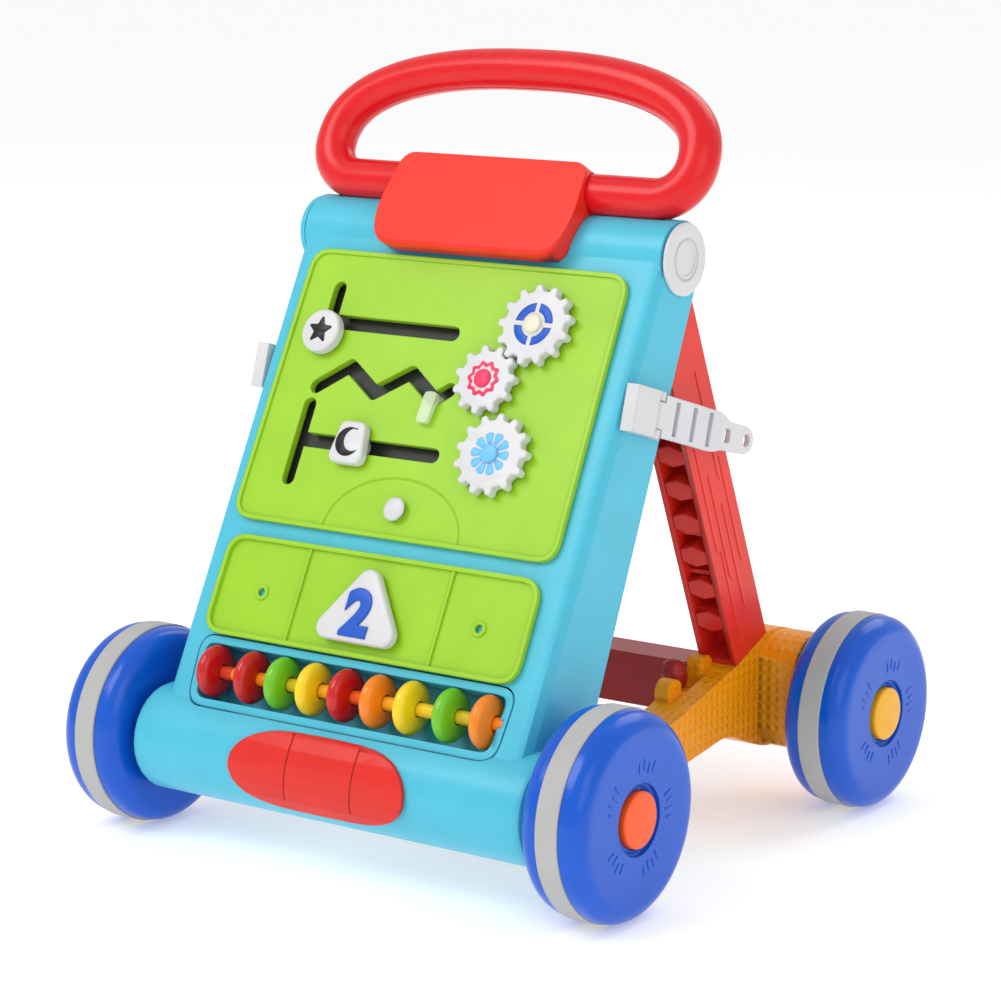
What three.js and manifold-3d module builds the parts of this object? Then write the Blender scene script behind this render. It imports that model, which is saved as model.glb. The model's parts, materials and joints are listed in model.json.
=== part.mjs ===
// Folding baby walker: a leaning play panel between two barrels, a rear leg frame hinged in the top
// barrel, four wheels and an oval push handle. Millimetres, +Z up, +X to the right as seen from the front,
// origin on the floor midway between the axles.
import * as THREE from "three";
import { mergeVertices } from "three/addons/utils/BufferGeometryUtils.js";
import Module from "manifold-3d";

const wasm = await Module();
wasm.setup();

// ---- driving dimensions ----
const WHEEL_RADIUS = 58;
const WHEELBASE = 265;
const FRONT_Y = -WHEELBASE / 2;
const REAR_Y = WHEELBASE / 2;
const LEAN = THREE.MathUtils.degToRad(27.3); // play panel, from the vertical
const PANEL_FOOT_Y = FRONT_Y - 75; // where the panel's face would meet the floor
const GAP = 0.35; // between pieces that touch

// Panel frame: x across, y into the panel from the face of the boards, z up the slope.
const SHELL_HALF = 125;
const SHELL_FACE = 2.6;
const WALL = 3;
const TOP_BARREL = { y: 21.8, z: 390.7, radius: 21.5, half: 124 };
const FRONT_BARREL = { y: 26.8, z: 79, radius: 31, half: 136 };
const REAR_EDGE_TOP = { y: 41.7, z: 377 };
const REAR_EDGE_LOW = { y: 55.7, z: 171 };
const COVER = { y: 28.5, thickness: 2.4, low: 114, high: 366 };
const LEG_NOTCH_Z = 330;
const LEG_ROOM = 15.5;

const UPPER_BOARD = { low: 205.7, high: 371.5, halfLow: 112.5, halfHigh: 110, corner: 13 };
const LOWER_BOARD = { low: 137, high: 196.3, halfLow: 109.3, halfHigh: 108.8, corner: 13 };
const BOARD_BACK = 2.2;
const RIM = { width: 2.6, height: 1.2 };
const SLOT_HALF = 4.4;
const SLOT_TOP = { x: -84, z: 328, low: 317.5, high: 348, end: 4 };
const SLOT_LOW = { x: -81, z: 256.5, low: 233, high: 277, end: 14 };
const ZIGZAG = [[-80, 288.5], [-60, 302.5], [-38.5, 288.5], [-16.5, 302.5], [4, 288.5], [12.5, 295]];
const SLOT_WINDOW = { left: -96, right: 28, low: 226, high: 358 };
const BACKING = { y: 8, thickness: 2, margin: 4 };
const SLOT_DEPTH = 4.8;

const GEAR_MODULE = 3.41;
const GEAR_FRONT = -7.4;
const GEAR_BACK = -1.4;
const GEAR_BORE = 3.5;
const GEAR_PIN = 2.9;
const GEARS = {
  gear_top: { x: 61, z: 336, teeth: 13 },
  gear_middle: { x: 38.3, z: 301.8, teeth: 11 },
  gear_bottom: { x: 56.7, z: 259.9, teeth: 13 },
};

const TOKEN_ROUND = { x: SLOT_TOP.x, z: 320, radius: 13 };
const TOKEN_SQUARE = { x: -41, z: SLOT_LOW.z, half: 12.5, corner: 5 };
const TOKEN_FRONT = -7;
const TOKEN_STEM = 3.7;
const BUTTON = { x: 1, z: 222.5, radius: 7, stem: 4.5, proud: 5.2 };

const TILE = { z: 164.7, half: 31, top: 21.5, bottom: -19.5, corner: 6, front: -7, back: -1.7 };
const TILE_PIN = 2.2;
const EMPTY_PIN_X = 76;
const RIB_X = 50;

const TRAY = { half: 110, low: 95, high: 136.2, corner: 11, depth: 25, lip: 4.5, floor: 2 };
const ROD = { y: 6, z: 116.5, radius: 3.9 };
const BEAD = { radius: 15, thickness: 11, bore: 4.6 };
const BEAD_X = [-96, -69, -47, -24.5, -2, 20.5, 43.5, 70, 94.5];

const AXLE_RADIUS = 4;
const AXLE_HALF = 176;
const WHEEL_INNER_X = 140.5;
const BAND = { inner: 154, outer: 168, depth: 3 };
const HUB_CAP = { radius: 15.5, face: 182 };

const HANDLE = { y: 10, z: 419.9, tube: 12, half: 126.5, top: 72.5, tilt: 2.2 };
const BLOCK = { front: -13, back: 24, low: 374, high: 434, lean: 9.7 };

const LEG = { inner: 87, outer: 112, angle: 22.6, length: 262, halfDepth: 18, wall: 3.4 };
const BEAM = { front: FRONT_Y + 207, back: FRONT_Y + 235, low: 54.5, high: 86 };
const BOSS_OUTER = 136;
const STRAP = { y: 30.7, z: 303.5, x: 128.2, thickness: 3.4, rise: 10.4, pin: 1.9 };
const PEG = { y: -6.2, z: -112.5, radius: 3.2 };

// ---- where the panel's frame meets the world ----
const toPanel = (y, z) => ({
  y: (y - PANEL_FOOT_Y) * Math.cos(LEAN) - z * Math.sin(LEAN),
  z: (y - PANEL_FOOT_Y) * Math.sin(LEAN) + z * Math.cos(LEAN),
});
const toWorld = (y, z) => ({
  y: PANEL_FOOT_Y + z * Math.sin(LEAN) + y * Math.cos(LEAN),
  z: z * Math.cos(LEAN) - y * Math.sin(LEAN),
});
const FRONT_AXLE = toPanel(FRONT_Y, WHEEL_RADIUS);
const HINGE = toWorld(TOP_BARREL.y, TOP_BARREL.z);

// ---- solids ----
const bare = (geometry) => {
  const g = geometry.clone();
  for (const name of Object.keys(g.attributes)) {
    if (name !== "position") g.deleteAttribute(name);
  }
  return g;
};

const solid = (geometry) => {
  const merged = mergeVertices(bare(geometry), 1e-3);
  return new wasm.Manifold(new wasm.Mesh({
    numProp: 3,
    vertProperties: merged.attributes.position.array,
    triVerts: new Uint32Array(merged.index.array),
  }));
};

const geometryOf = (body) => {
  const mesh = body.getMesh();
  const positions = new Float32Array(mesh.numVert * 3);
  for (let i = 0; i < mesh.numVert; i++) {
    positions.set(mesh.vertProperties.subarray(i * mesh.numProp, i * mesh.numProp + 3), i * 3);
  }
  const geometry = new THREE.BufferGeometry();
  geometry.setAttribute("position", new THREE.BufferAttribute(positions, 3));
  geometry.setIndex(new THREE.BufferAttribute(mesh.triVerts, 1));
  const flat = geometry.toNonIndexed();
  flat.computeVertexNormals();
  return flat;
};

const cut = (body, ...tools) => tools.reduce((rest, tool) => rest.subtract(tool), body);
const join = (...bodies) => bodies.reduce((whole, body) => whole.add(body));

const box = (x0, x1, y0, y1, z0, z1) => {
  const g = new THREE.BoxGeometry(x1 - x0, y1 - y0, z1 - z0);
  return solid(g.translate((x0 + x1) / 2, (y0 + y1) / 2, (z0 + z1) / 2));
};

// A rod along X.
const rodX = (radius, x0, x1, y, z, segments = 20) => {
  const g = new THREE.CylinderGeometry(radius, radius, x1 - x0, segments);
  return solid(g.rotateZ(-Math.PI / 2).translate((x0 + x1) / 2, y, z));
};

// A rod along Y, from y0 to y1.
const rodY = (radius, x, z, y0, y1, segments = 16) => {
  const g = new THREE.CylinderGeometry(radius, radius, y1 - y0, segments);
  return solid(g.translate(x, (y0 + y1) / 2, z));
};

// A turned shape about the X axis: profile of [radius, x].
const turnedX = (profile, y, z, segments = 32) => {
  const points = profile.map(([r, x]) => new THREE.Vector2(r, x));
  const g = new THREE.LatheGeometry(points, segments);
  return solid(g.rotateZ(-Math.PI / 2).translate(0, y, z));
};

// An outline in x and z, from y = front to y = back, with its front edge eased by ease.
const plate = (shape, front, back, ease = 0, segments = 5) => {
  const options = { depth: back - front - ease, bevelEnabled: false, curveSegments: segments };
  const g = new THREE.ExtrudeGeometry(shape, options).rotateX(Math.PI / 2).translate(0, back, 0);
  const body = solid(g);
  if (!ease) return body;
  const rim = new THREE.ExtrudeGeometry(shape, {
    depth: 0.01,
    bevelEnabled: true,
    bevelThickness: ease,
    bevelSize: ease,
    bevelOffset: -ease,
    bevelSegments: 2,
    curveSegments: segments,
  });
  return body.add(solid(rim.rotateX(Math.PI / 2).translate(0, front + ease + 0.01, 0)));
};

// An outline in y and z, from x0 to x1.
const sidePlate = (shape, x0, x1, segments = 6) => {
  const settings = { depth: x1 - x0, bevelEnabled: false, curveSegments: segments };
  const g = new THREE.ExtrudeGeometry(shape, settings);
  const turn = new THREE.Matrix4().makeBasis(
    new THREE.Vector3(0, 1, 0), new THREE.Vector3(0, 0, 1), new THREE.Vector3(1, 0, 0));
  return solid(g.applyMatrix4(turn).translate(x0, 0, 0));
};

// A polygon whose corners are rounded: points of [x, y, radius], where a short edge limits the radius.
const roundedShape = (points) => {
  const shape = new THREE.Shape();
  points.forEach(([x, y, radius = 0], i) => {
    const here = new THREE.Vector2(x, y);
    const before = new THREE.Vector2(...points[(i + points.length - 1) % points.length].slice(0, 2));
    const after = new THREE.Vector2(...points[(i + 1) % points.length].slice(0, 2));
    const reach = Math.min(radius, 0.47 * here.distanceTo(before), 0.47 * here.distanceTo(after));
    const start = here.clone().add(before.sub(here).setLength(reach));
    const end = here.clone().add(after.sub(here).setLength(reach));
    if (i === 0) shape.moveTo(start.x, start.y);
    else shape.lineTo(start.x, start.y);
    if (radius > 0) shape.quadraticCurveTo(here.x, here.y, end.x, end.y);
  });
  shape.closePath();
  return shape;
};

const boardShape = ({ low, high, halfLow, halfHigh, corner }, inset = 0) => roundedShape([
  [-halfLow + inset, low + inset, corner - inset],
  [halfLow - inset, low + inset, corner - inset],
  [halfHigh - inset, high - inset, corner - inset],
  [-halfHigh + inset, high - inset, corner - inset],
]);

const circleShape = (x, y, radius) => {
  const shape = new THREE.Shape();
  shape.absarc(x, y, radius, 0, Math.PI * 2, false);
  return shape;
};

const mirrored = (body) => body.mirror([1, 0, 0]);

// ---- scene graph ----
const walker = new THREE.Group();
const panel = new THREE.Group();
panel.position.y = PANEL_FOOT_Y;
panel.rotation.x = -LEAN;
walker.add(panel);

const LOOKS = {
  turquoise: [0x5accdf, 0.35, 0],
  green: [0xa3d637, 0.4, 0],
  red: [0xd8262e, 0.3, 0],
  coral: [0xf9492f, 0.4, 0],
  darkRed: [0xa52c2c, 0.45, 0],
  blue: [0x0a5fd6, 0.25, 0],
  grey: [0xc6c8cb, 0.6, 0],
  white: [0xf4f4f2, 0.4, 0],
  orange: [0xf79a0a, 0.45, 0],
  yellow: [0xf9b51e, 0.4, 0],
  capOrange: [0xff6a20, 0.4, 0],
  slotGrey: [0x45424a, 0.6, 0],
  clear: [0xdff0c8, 0.1, 0],
  steel: [0xb4b8bd, 0.3, 1],
};

const addPiece = (parent, name, look, body) => {
  const [color, roughness, metalness] = LOOKS[look];
  const material = new THREE.MeshStandardMaterial({ color, roughness, metalness });
  const mesh = new THREE.Mesh(geometryOf(body), material);
  mesh.name = name;
  parent.add(mesh);
};

// ---- play panel ----
const rearCutter = () => {
  const slope = Math.atan2(REAR_EDGE_LOW.y - REAR_EDGE_TOP.y, REAR_EDGE_TOP.z - REAR_EDGE_LOW.z);
  const g = new THREE.BoxGeometry(320, 120, 700).translate(0, 60, 0).rotateX(slope);
  return solid(g.translate(0, REAR_EDGE_TOP.y, REAR_EDGE_TOP.z));
};

const boxGap = (z0, z1) => box(-SHELL_HALF + WALL, SHELL_HALF - WALL, SHELL_FACE + WALL, 90, z0, z1);

const shaftBores = (radius) => rodX(radius, -200, 200, TOP_BARREL.y, TOP_BARREL.z, 20);

const legSlot = () => {
  const [x0, x1] = [LEG.inner - 1.4, LEG.outer + 1.4];
  const below = box(x0, x1, TOP_BARREL.y - LEG_ROOM, 90, 346, TOP_BARREL.z);
  const behind = box(x0, x1, TOP_BARREL.y, 90, TOP_BARREL.z - 1, TOP_BARREL.z + LEG_ROOM);
  return join(below, behind, rodX(LEG_ROOM, x0, x1, TOP_BARREL.y, TOP_BARREL.z, 24));
};

const makeShell = () => {
  const face = roundedShape([
    [-SHELL_HALF, FRONT_BARREL.z], [SHELL_HALF, FRONT_BARREL.z],
    [SHELL_HALF, TOP_BARREL.z], [-SHELL_HALF, TOP_BARREL.z],
  ]);
  const housing = cut(plate(face, SHELL_FACE, 70, 8), rearCutter());
  const { radius, half } = FRONT_BARREL;
  const barrel = turnedX([[0, -half], [radius - 5, -half], [radius - 1.5, -half + 1.5], [radius, -half + 5],
    [radius, half - 5], [radius - 1.5, half - 1.5], [radius - 5, half], [0, half]],
  FRONT_BARREL.y, FRONT_BARREL.z, 28);
  const top = rodX(TOP_BARREL.radius, -TOP_BARREL.half, TOP_BARREL.half, TOP_BARREL.y, TOP_BARREL.z, 28);
  const hollow = join(
    boxGap(FRONT_BARREL.z, 366),
    rodX(radius - WALL, -half + WALL, half - WALL, FRONT_BARREL.y, FRONT_BARREL.z, 24));
  const windows = [
    plate(roundedShape([
      [SLOT_WINDOW.left, SLOT_WINDOW.low], [SLOT_WINDOW.right, SLOT_WINDOW.low],
      [SLOT_WINDOW.right, SLOT_WINDOW.high], [SLOT_WINDOW.left, SLOT_WINDOW.high]]), -5, 12),
    rodY(BUTTON.stem + 0.5, BUTTON.x, BUTTON.z, -5, 12),
    plate(trayShape(-0.9), -12, TRAY.depth + 1),
    rodY(TILE_PIN + 0.3, 0, TILE.z, -5, 12, 12),
  ];
  for (const { x, z } of Object.values(GEARS)) windows.push(rodY(GEAR_PIN + 0.3, x, z, -5, 12, 16));
  return cut(join(housing, barrel, top), hollow, ...windows,
    rodX(AXLE_RADIUS + GAP, -200, 200, FRONT_AXLE.y, FRONT_AXLE.z, 20),
    shaftBores(AXLE_RADIUS + GAP), legSlot(), mirrored(legSlot()),
    rodX(HANDLE.tube + GAP, -114, 114, HANDLE.y, HANDLE.z, 24));
};

const trayShape = (inset) => boardShape(
  { ...TRAY, halfLow: TRAY.half - 3, halfHigh: TRAY.half }, inset);

const makeRearCover = () => {
  const inner = SHELL_HALF - WALL - GAP;
  const { y, thickness, low, high } = COVER;
  const sheet = box(-inner, inner, y, y + thickness, low, high);
  const notch = box(LEG.inner - 3, LEG.outer + 3, y - 2, y + 8, LEG_NOTCH_Z, high + 5);
  return cut(sheet, notch, mirrored(notch));
};

const slotPath = (points) => {
  const pieces = [];
  points.forEach(([x, z], i) => {
    pieces.push(rodY(SLOT_HALF, x, z, -6, 12, 16));
    if (i === 0) return;
    const [px, pz] = points[i - 1];
    const length = Math.hypot(x - px, z - pz);
    const bar = new THREE.BoxGeometry(length, 18, SLOT_HALF * 2);
    const turn = -Math.atan2(z - pz, x - px);
    pieces.push(solid(bar.rotateY(turn).translate((x + px) / 2, 3, (z + pz) / 2)));
  });
  return join(...pieces);
};

const makeUpperBoard = () => {
  const sheet = plate(boardShape(UPPER_BOARD), 0, BOARD_BACK);
  const { left, right, low, high } = SLOT_WINDOW;
  const pad = box(left + GAP, right - GAP, 1, SLOT_DEPTH, low + GAP, high - GAP);
  const inside = plate(boardShape(UPPER_BOARD, RIM.width), -5, 5);
  const rim = cut(plate(boardShape(UPPER_BOARD), -RIM.height, 1), inside);
  const holes = Object.values(GEARS).map(({ x, z }) => rodY(GEAR_PIN + 0.3, x, z, -5, 5, 16));
  const slots = [
    slotPath([[SLOT_TOP.x, SLOT_TOP.low], [SLOT_TOP.x, SLOT_TOP.high]]),
    slotPath([[SLOT_TOP.x, SLOT_TOP.z], [SLOT_TOP.end, SLOT_TOP.z]]),
    slotPath([[SLOT_LOW.x, SLOT_LOW.low], [SLOT_LOW.x, SLOT_LOW.high]]),
    slotPath([[SLOT_LOW.x, SLOT_LOW.z], [SLOT_LOW.end, SLOT_LOW.z]]),
    slotPath(ZIGZAG),
  ];
  return cut(join(sheet, rim, pad), ...slots, ...holes, rodY(BUTTON.stem + 0.5, BUTTON.x, BUTTON.z, -5, 9));
};

const makeBacking = () => {
  const { left, right, low, high } = SLOT_WINDOW;
  const m = BACKING.margin;
  return box(left - m, right + m, BACKING.y, BACKING.y + BACKING.thickness, low - m, high + m);
};

const makeLowerBoard = () => {
  const sheet = plate(boardShape(LOWER_BOARD), 1, BOARD_BACK);
  const inside = plate(boardShape(LOWER_BOARD, RIM.width), -5, 5);
  const rim = cut(plate(boardShape(LOWER_BOARD), -RIM.height, 1.5), inside);
  const rib = (x) => box(x - 1, x + 1, -0.4, 1.5, LOWER_BOARD.low + 1, LOWER_BOARD.high - 1);
  const boss = (x) => rodY(4.6, x, TILE.z, 0.2, 1.5, 20);
  const hole = (x) => rodY(TILE_PIN + 0.3, x, TILE.z, -5, 5, 12);
  return cut(join(sheet, rim, rib(-RIB_X), rib(RIB_X), boss(-EMPTY_PIN_X), boss(EMPTY_PIN_X)),
    hole(-EMPTY_PIN_X), hole(0), hole(EMPTY_PIN_X));
};

const makeTray = () => {
  const tub = plate(trayShape(0), SHELL_FACE - 0.2, TRAY.depth);
  const well = plate(trayShape(TRAY.lip), -10, TRAY.depth - TRAY.floor);
  return cut(tub, well, rodX(ROD.radius + 0.3, -TRAY.half + 3.5, TRAY.half - 3.5, ROD.y, ROD.z, 16));
};

const makeBadge = () => {
  const { y, z, radius } = FRONT_BARREL;
  const half = 61;
  const rim = [];
  for (let i = 0; i < 40; i++) {
    const c = Math.cos((i * Math.PI) / 20);
    const s = Math.sin((i * Math.PI) / 20);
    rim.push(new THREE.Vector2(half * Math.sign(c) * Math.sqrt(Math.abs(c)), 21.5 * s));
  }
  const g = new THREE.ExtrudeGeometry(new THREE.Shape(rim), { depth: 40, bevelEnabled: false });
  const at = toPanel(FRONT_Y - 15, 60);
  const prism = solid(g.rotateX(Math.PI / 2).translate(0, 0, 0).rotateX(LEAN).translate(0, at.y, at.z));
  const ring = cut(rodX(radius + 2.8, -80, 80, y, z, 28), rodX(radius + GAP + 0.1, -90, 90, y, z, 28));
  return prism.intersect(ring);
};

// ---- gears, tokens, button, tile, beads ----
const gearShape = (teeth, turn) => {
  const pitch = (GEAR_MODULE * teeth) / 2;
  const tooth = [[-0.3, -2.4], [-0.1, 1.5], [0.1, 1.5], [0.3, -2.4]];
  const shape = new THREE.Shape();
  for (let i = 0; i < teeth; i++) {
    tooth.forEach(([fraction, height], k) => {
      const angle = turn + ((i + fraction) * 2 * Math.PI) / teeth;
      const r = pitch + height;
      if (i === 0 && k === 0) shape.moveTo(r * Math.cos(angle), r * Math.sin(angle));
      else shape.lineTo(r * Math.cos(angle), r * Math.sin(angle));
    });
  }
  shape.closePath();
  return shape;
};

const meshAngle = Math.atan2(GEARS.gear_middle.z - GEARS.gear_top.z, GEARS.gear_middle.x - GEARS.gear_top.x);
const GEAR_TURN = {
  gear_top: meshAngle,
  gear_middle: meshAngle + Math.PI + Math.PI / GEARS.gear_middle.teeth,
  gear_bottom: Math.PI / 2,
};

const makeGear = (name) => {
  const { teeth } = GEARS[name];
  const wheel = plate(gearShape(teeth, GEAR_TURN[name]), GEAR_FRONT, GEAR_BACK);
  return cut(wheel, rodY(GEAR_BORE, 0, 0, -12, 5, 20));
};

const makeGearPin = () => join(
  rodY(GEAR_PIN, 0, 0, GEAR_FRONT - 0.9, 7.5, 16),
  rodY(5.4, 0, 0, GEAR_FRONT - 2, GEAR_FRONT - 0.5, 20));

const makeToken = (head, stemX = 0, stemZ = 0) => join(
  head, rodY(TOKEN_STEM, stemX, stemZ, TOKEN_FRONT + 3, SLOT_DEPTH + 2, 16));

const CLIP = { radius: 6.8, near: SLOT_DEPTH + 0.4, far: SLOT_DEPTH + 1.6 };
const makeClip = () => cut(
  rodY(CLIP.radius, 0, 0, CLIP.near, CLIP.far),
  rodY(TOKEN_STEM + 0.12, 0, 0, 1, 12));

const squareHead = () => {
  const { half, corner } = TOKEN_SQUARE;
  return plate(roundedShape([
    [-half, -half, corner], [half, -half, corner],
    [half - 4, half, corner], [-half + 4, half, corner]]), TOKEN_FRONT, GEAR_BACK, 1.2, 4);
};

const clearHead = () => plate(roundedShape([
  [-5.5, -15, 2], [2.5, -15, 2], [4.6, 3.5, 3], [-4.2, 3.5, 3]]), -4.5, GEAR_BACK, 0, 3);

const makeButton = () => {
  const { radius, stem, proud } = BUTTON;
  const dome = new THREE.LatheGeometry([
    [0, proud], [3.6, proud - 0.3], [6.2, proud - 1], [radius, 3.9], [radius, 3.3],
    [stem, 3.3], [stem, -2.6], [0, -2.6]].map(([r, h]) => new THREE.Vector2(r, h)).reverse(), 20);
  return solid(dome.rotateX(Math.PI));
};

const makeTile = () => {
  const { half, top, bottom, corner, front, back } = TILE;
  const body = plate(roundedShape([
    [-half, bottom, corner], [half, bottom, corner], [0, top + 4, corner + 3]]), front, back, 1.4, 4);
  return cut(body, rodY(TILE_PIN + 0.35, 0, 0, -4.2, 3, 16));
};

const makeBead = () => {
  const { radius, thickness, bore } = BEAD;
  const half = thickness / 2;
  return turnedX([[bore, -half], [9, -half * 0.95], [13.2, -half * 0.62], [radius, 0], [13.2, half * 0.62],
    [9, half * 0.95], [bore, half], [bore, -half]], 0, 0, 16);
};

// ---- handle ----
const handleCurve = () => {
  const { half, top } = HANDLE;
  const shoulder = 22;
  const points = [];
  const steps = 26;
  const power = 2 / 2.4;
  for (let i = 0; i <= steps; i++) {
    const t = Math.PI * (i / steps);
    const c = Math.cos(t);
    points.push(new THREE.Vector3(
      half * Math.sign(c) * Math.abs(c) ** power, 0, shoulder + (top - shoulder) * Math.sin(t) ** power));
  }
  const turnSteps = 6;
  const corner = half - 22;
  for (let i = 1; i <= turnSteps; i++) {
    const t = (Math.PI / 2) * (i / turnSteps);
    points.push(new THREE.Vector3(-corner - 22 * Math.cos(t), 0, shoulder * (1 - Math.sin(t))));
  }
  points.push(new THREE.Vector3(-50, 0, 0), new THREE.Vector3(0, 0, 0), new THREE.Vector3(50, 0, 0));
  for (let i = turnSteps; i >= 1; i--) {
    const t = (Math.PI / 2) * (i / turnSteps);
    points.push(new THREE.Vector3(corner + 22 * Math.cos(t), 0, shoulder * (1 - Math.sin(t))));
  }
  return new THREE.CatmullRomCurve3(points, true, "centripetal");
};

const makeHandle = () => {
  const curve = handleCurve();
  const g = new THREE.ExtrudeGeometry(circleShape(0, 0, HANDLE.tube), {
    steps: 48, extrudePath: curve, bevelEnabled: false, curveSegments: 5,
  });
  return solid(g.rotateX(THREE.MathUtils.degToRad(-HANDLE.tilt)).translate(0, HANDLE.y, HANDLE.z));
};

const makeBlock = () => {
  const { front, back, low, high, lean } = BLOCK;
  const face = roundedShape([
    [-62, low, 12], [62, low, 12], [68, 398, 14], [64, high, 9], [-64, high, 9], [-68, 398, 14]]);
  const body = plate(face, front, back, 3);
  const slope = new THREE.BoxGeometry(200, 60, 200).translate(0, -30, 0)
    .rotateX(-THREE.MathUtils.degToRad(lean)).translate(0, front, low + 2);
  const behindPanel = box(-80, 80, -RIM.height - GAP, 60, 300, 376);
  const shellFace = box(-80, 80, SHELL_FACE - GAP, 60, 300, TOP_BARREL.z);
  const tubeHole = makeTubeHole();
  return cut(body, solid(slope), behindPanel, shellFace,
    rodX(TOP_BARREL.radius + GAP, -90, 90, TOP_BARREL.y, TOP_BARREL.z, 28), tubeHole);
};

const makeTubeHole = () => rodX(HANDLE.tube + GAP, -90, 90, HANDLE.y, HANDLE.z, 24);

// ---- side latches ----
const latchMatrix = () => new THREE.Matrix4().makeTranslation(0, STRAP.y, STRAP.z)
  .multiply(new THREE.Matrix4().makeRotationX(THREE.MathUtils.degToRad(STRAP.rise)));

const inLatch = (body) => {
  const g = geometryOf(body);
  g.applyMatrix4(latchMatrix());
  return solid(g);
};

const makeLatchBlock = () => {
  const { x, thickness, pin } = STRAP;
  const side = SHELL_HALF + GAP;
  const body = box(side, 133.5, -27, -4.5, -13, 13);
  const cheek = box(side, 126.2, -5, 12, -13, 13);
  const knuckle = (z0, z1) => join(
    rodZ(3.4, x + thickness / 2, 0, z0, z1), box(side, x + thickness / 2, -5, 2.6, z0, z1));
  const pinRod = rodZ(pin, x + thickness / 2, 0, -12, 12);
  return join(body, cheek, knuckle(-13, -8), knuckle(8, 13), pinRod);
};

const rodZ = (radius, x, y, z0, z1, segments = 16) => {
  const g = new THREE.CylinderGeometry(radius, radius, z1 - z0, segments).rotateX(Math.PI / 2);
  return solid(g.translate(x, y, (z0 + z1) / 2));
};

const makeStrap = () => {
  const { x, thickness, pin } = STRAP;
  const outline = roundedShape([
    [5, -11.5], [60, -11.5, 4], [68, -9, 3], [95, -7.6, 5], [102.5, -4, 4], [102.5, 5, 5],
    [95, 8.6, 4], [76, 8, 3], [64, 12, 3], [5, 12]]);
  const sheet = sidePlate(outline, x, x + thickness, 3);
  const hub = join(rodZ(3.3, x + thickness / 2, 0, -7.4, 7.4), box(x, x + thickness, 0, 6, -7.4, 7.4));
  const slot = (y) => box(x - 5, x + 9, y - 2, y + 2, -9.2, 9.8);
  const ringHole = sidePlate(circleShape(95, 0.6, 3.8), x - 5, x + 9, 5);
  const snapShape = roundedShape([[70.5, -4, 2], [77, -4, 2], [77, 4, 2], [70.5, 4, 2]]);
  const snapHole = sidePlate(snapShape, x - 5, x + 9, 3);
  return cut(join(sheet, hub), slot(18), slot(36.4), slot(53.8), ringHole, snapHole,
    rodZ(pin + 0.4, x + thickness / 2, 0, -20, 20));
};

// ---- wheels ----
const makeRim = () => {
  const r = WHEEL_RADIUS;
  const d = r - BAND.depth;
  const bore = AXLE_RADIUS + 0.5;
  const recess = HUB_CAP.radius + 0.6;
  const inside = WHEEL_INNER_X;
  return turnedX([[bore, inside], [44, inside], [53, inside + 5], [d, inside + 11],
    [d, BAND.outer], [54.8, 173], [50, 178.5], [38, 180.8], [18.5, 180.8], [recess, 179.5], [recess, 176.5],
    [bore, 176.5], [bore, inside]], 0, 0, 28);
};

const makeBand = () => {
  const r = WHEEL_RADIUS;
  const seat = (r - BAND.depth) + GAP;
  const { inner, outer } = BAND;
  return turnedX([[seat, inner], [r, inner], [r, outer], [seat, outer], [seat, inner]], 0, 0, 28);
};

const makeHubCap = () => {
  const { radius, face } = HUB_CAP;
  const seat = 176.9;
  return turnedX([[0, seat], [radius, seat], [radius, face - 1], [radius - 1.4, face], [0, face]], 0, 0, 20);
};

// ---- rear frame ----
const legDirection = THREE.MathUtils.degToRad(LEG.angle);

const makeLeg = () => {
  const { inner, outer, length, halfDepth, wall } = LEG;
  const side = new THREE.Shape();
  side.moveTo(-13.5, 0);
  side.absarc(0, 0, 13.5, Math.PI, 0, true);
  side.lineTo(halfDepth, -29);
  side.lineTo(halfDepth, -length);
  side.lineTo(-halfDepth, -length);
  side.lineTo(-halfDepth, -29);
  side.closePath();
  const bar = sidePlate(side, inner, outer, 12);
  const channel = box(inner + wall, outer - wall, -halfDepth - 5, -2, -length + wall, -42);
  const pockets = [];
  for (let z = -66; z > -length + 20; z -= 27) {
    pockets.push(box(inner + 1, outer - 1, -halfDepth + 5, -1.5, z - 1.4, z + 1.4));
  }
  const peg = rodX(PEG.radius, outer - 1, STRAP.x - 0.6, PEG.y, PEG.z, 14);
  return join(cut(bar, channel, rodX(AXLE_RADIUS + GAP, 60, 140, 0, 0, 20)), peg, ...pockets);
};

const footTop = (along, rise = 0) => ({
  y: HINGE.y + LEG.length * Math.sin(legDirection) + along * Math.cos(legDirection),
  z: HINGE.z - LEG.length * Math.cos(legDirection) + along * Math.sin(legDirection) + rise - GAP - 0.1,
});

const makeFoot = () => {
  const front = footTop(-LEG.halfDepth - 1);
  const back = footTop(LEG.halfDepth + 0.5);
  const at = (y) => FRONT_Y + y;
  const outline = roundedShape([
    [at(128), 38, 6], [at(150), 41, 6], [at(199), 48.5, 10], [at(217), 41, 8], [at(238), 33, 8],
    [at(268), 29.5, 12],
    [at(289), 37, 10], [at(294), 60, 12], [at(289), 86, 12], [at(268), 101.5, 12], [back.y + 3, back.z + 1],
    [back.y, back.z], [front.y, front.z], [at(200), 86, 3], [at(133), 67, 8], [at(126), 58, 6]]);
  const arm = sidePlate(outline, LEG.inner, LEG.outer, 4);
  const housing = roundedShape([
    [at(233), 44, 6], [at(242), 33, 6], [at(268), 29.5, 12], [at(289), 37, 10], [at(294), 60, 12],
    [at(289), 86, 12], [at(268), 101.5, 12], [at(246), 101, 8], [at(233), 88, 6]]);
  const boss = sidePlate(housing, LEG.outer - 1, BOSS_OUTER, 4);
  const lump = (y, z, r) => rodX(r, LEG.inner, LEG.inner + 9, at(y), z, 14);
  const notch = box(LEG.inner - 5, LEG.inner + 12, at(173), at(193), 77.4, 110);
  return cut(join(arm, boss, lump(166, 78.5, 8), lump(199, 86, 8.5)), notch,
    rodX(AXLE_RADIUS + GAP, 60, 160, REAR_Y, WHEEL_RADIUS, 20));
};

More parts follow.
